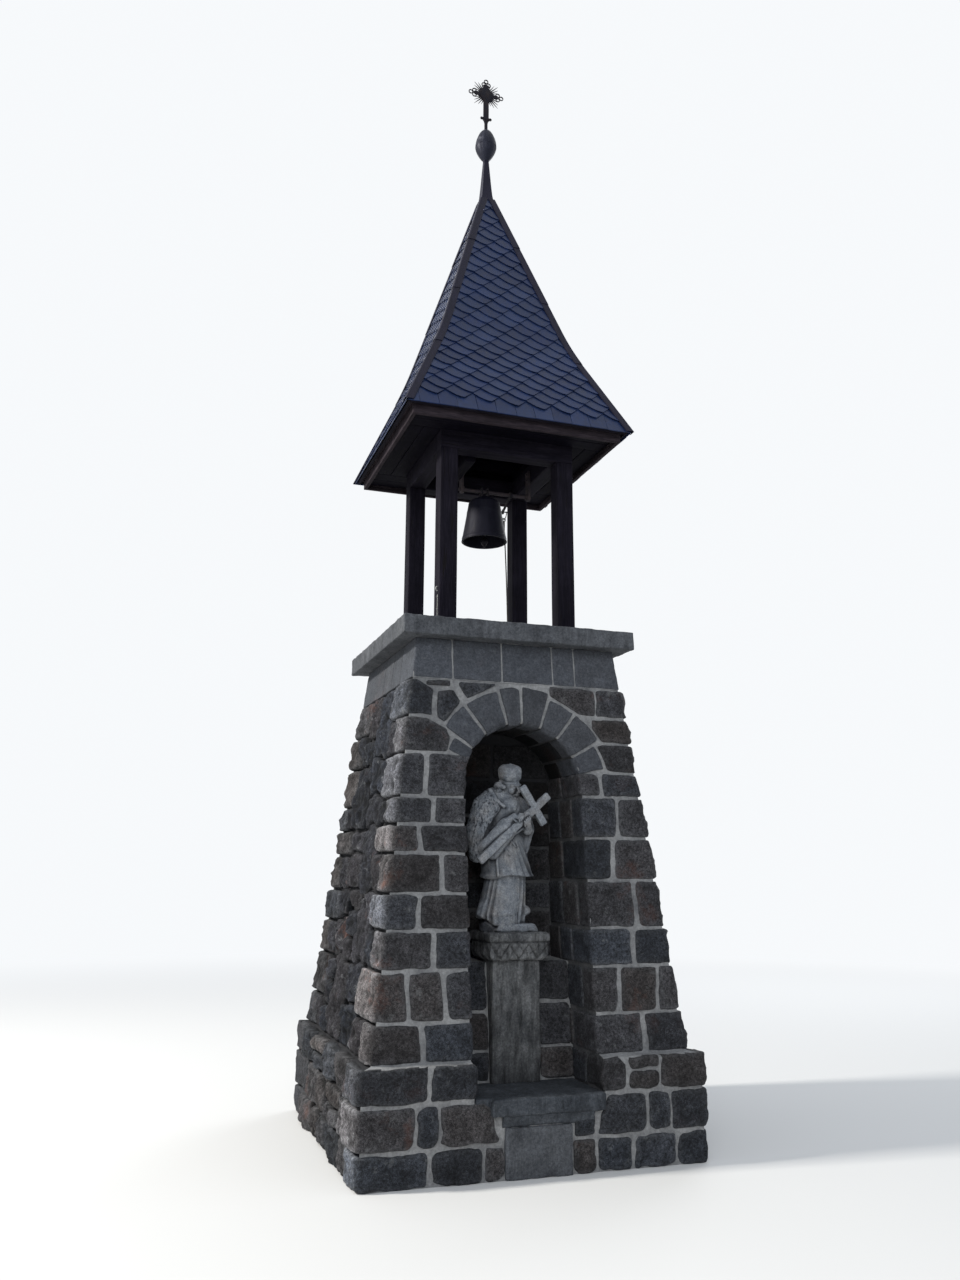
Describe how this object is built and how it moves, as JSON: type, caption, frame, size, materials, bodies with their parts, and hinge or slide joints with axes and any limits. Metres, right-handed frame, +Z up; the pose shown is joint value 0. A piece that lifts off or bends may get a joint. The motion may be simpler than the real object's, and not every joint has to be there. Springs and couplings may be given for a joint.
{
  "type": "bell tower",
  "caption": "Small roadside stone bell tower with a statue niche, an open timber belfry with a swinging bell, and a bellcast slate roof with ball and cross.",
  "frame": {"origin": "middle of the tower at ground level, on the ground face", "axes": "+Z up, -Y towards the niche side, +X to the right seen from the niche side"},
  "size_m": [2.018, 2.054, 7.7],
  "materials": {
    "masonry": "rough dark squared rubble in pale grey mortar",
    "concrete": "weathered grey cast stone",
    "ledge_stone": "worn grey stone",
    "pedestal_stone": "weathered brown-grey sandstone",
    "statue_stone": "pale grey carved sandstone",
    "dark_timber": "weathered dark stained timber",
    "slate": "blue-black slates over boards",
    "roof_metal": "dull dark sheet metal",
    "finial_metal": "dark weathered sheet copper",
    "wrought_iron": "dark wrought iron with rust",
    "bell_bronze": "dark patinated bell bronze",
    "rope": "weathered hemp rope"
  },
  "bodies": {
    "tower": {"plinth": "masonry", "left_pier": "masonry", "right_pier": "masonry", "rear_wall": "masonry", "arch_head": "masonry", "niche_arch": "masonry", "top_band": "masonry", "niche_infill_left": "masonry", "niche_infill_right": "masonry", "cap_slab": "concrete", "base_block": "concrete", "ledge_slab": "ledge_stone", "ledge_moulding": "ledge_stone", "pedestal_shaft": "pedestal_stone", "pedestal_capital": "pedestal_stone", "statue": "statue_stone", "corner_posts": "dark_timber", "plates_front_back": "dark_timber", "plates_sides": "dark_timber", "bell_beam": "dark_timber", "ceiling_joists": "dark_timber", "cross_joists": "dark_timber", "soffit_front_back": "dark_timber", "soffit_sides": "dark_timber", "fascia_front_back": "dark_timber", "fascia_sides": "dark_timber", "hip_rafters": "dark_timber", "king_post": "dark_timber", "roof_front": "slate", "roof_right": "slate", "roof_back": "slate", "roof_left": "slate", "hip_flashings": "roof_metal", "spire_cap": "roof_metal", "finial_ball": "finial_metal", "cross": "wrought_iron", "bell_hangers": "wrought_iron", "rope_cleat": "wrought_iron", "bell_rope": "rope"},
    "bell": {"bell_axle": "wrought_iron", "bell_straps": "wrought_iron", "bell": "bell_bronze", "bell_lever": "wrought_iron"},
    "clapper": {"clapper": "wrought_iron"}
  },
  "joints": [
    {"name": "bell_swing", "type": "hinge", "parent": "tower", "child": "bell", "pos_m": [0, 0, 4.255], "axis": [1, 0, 0], "range_deg": [-35, 35], "deforming": ["bell_rope"]},
    {"name": "clapper_swing", "type": "hinge", "parent": "bell", "child": "clapper", "pos_m": [0, 0, 4.162], "axis": [1, 0, 0], "range_deg": [-22, 22]}
  ]
}
